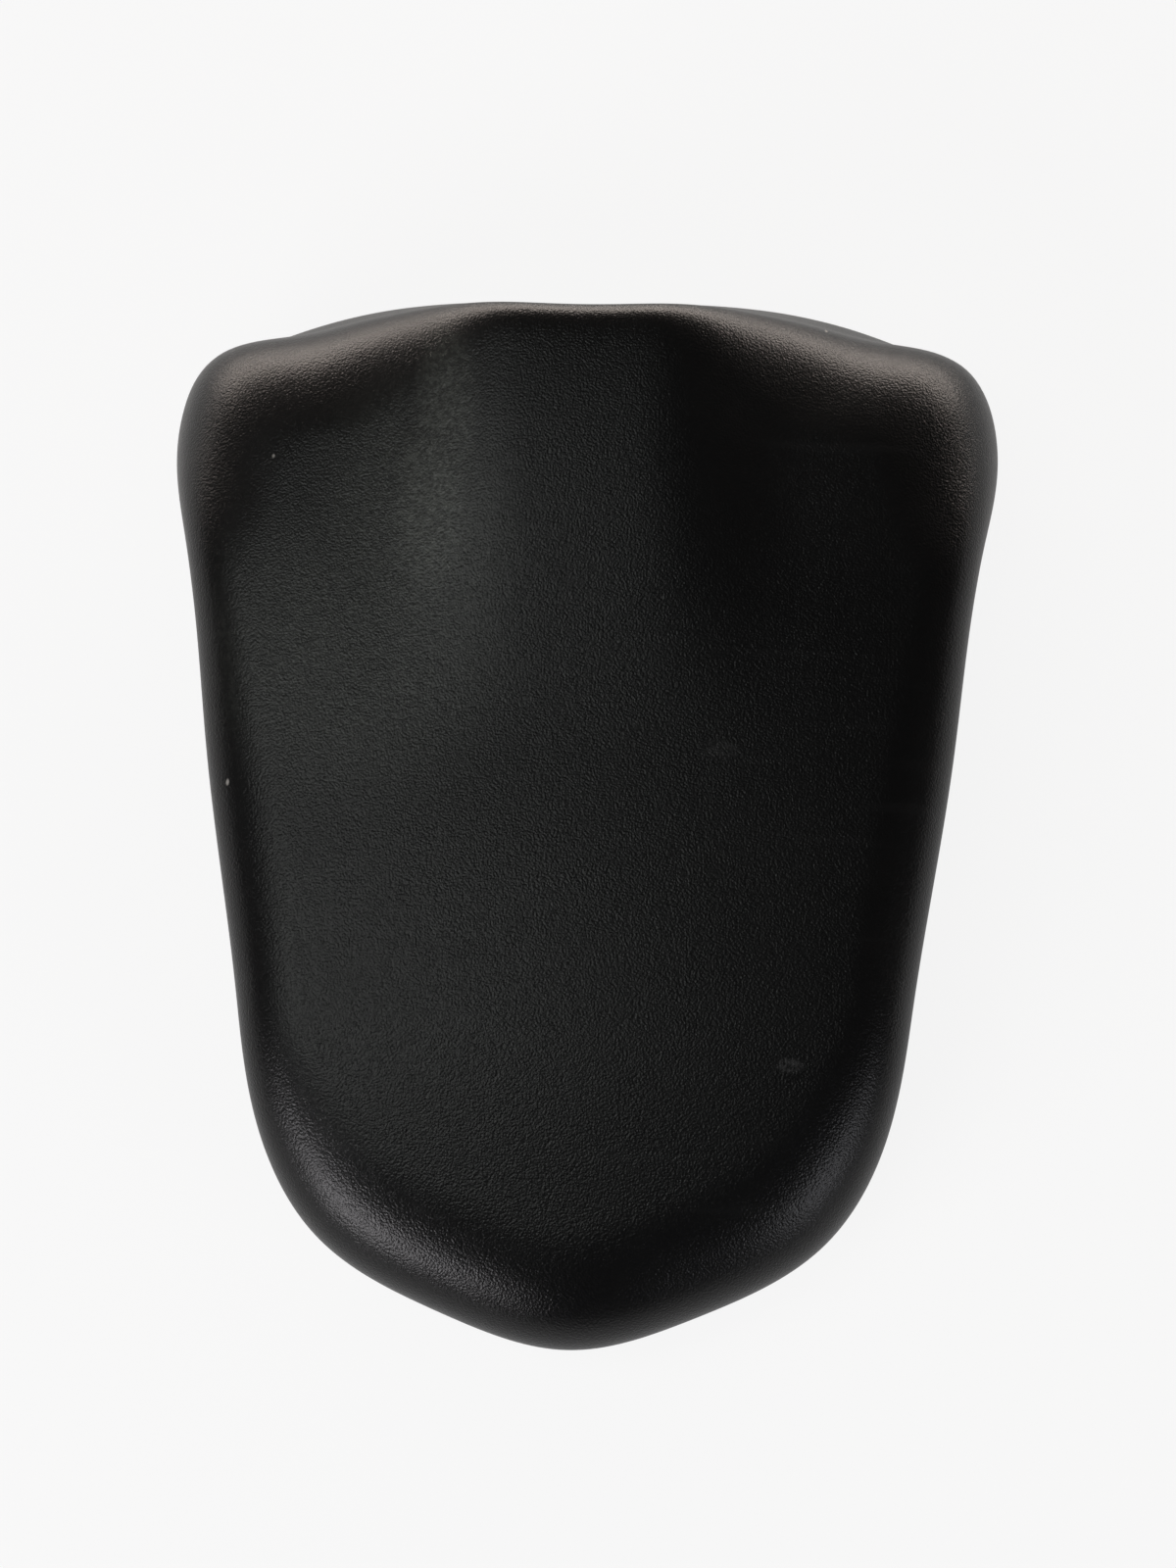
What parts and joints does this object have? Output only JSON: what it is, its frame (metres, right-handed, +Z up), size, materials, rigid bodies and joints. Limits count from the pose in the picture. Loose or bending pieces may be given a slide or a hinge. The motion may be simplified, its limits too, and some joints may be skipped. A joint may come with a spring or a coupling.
{
  "type": "motorcycle pillion seat",
  "caption": "Wedge-shaped motorcycle pillion seat: black vinyl cover over foam with a raised front hump, on a ribbed base with hooks, rubber bumpers and a rear striker.",
  "frame": {"origin": "middle of the plan box, at the underside of the rubber bumpers", "axes": "+X to the rider's right, +Y to the front of the machine (the wide end with the hump), +Z up"},
  "size_m": [0.2574, 0.3335, 0.0771],
  "materials": {
    "vinyl": "matte grained black vinyl",
    "foam": "moulded polyurethane foam",
    "base_plastic": "moulded black polypropylene",
    "zinc_steel": "zinc-plated steel",
    "bumper_rubber": "moulded black rubber"
  },
  "bodies": {
    "root": {"seat_cover": "vinyl", "foam_cushion": "foam", "seat_base": "base_plastic", "striker_bracket": "zinc_steel", "striker_bolts": "zinc_steel", "striker_backing_plate": "zinc_steel", "striker_nuts": "zinc_steel", "rubber_bumpers": "bumper_rubber"}
  },
  "joints": []
}
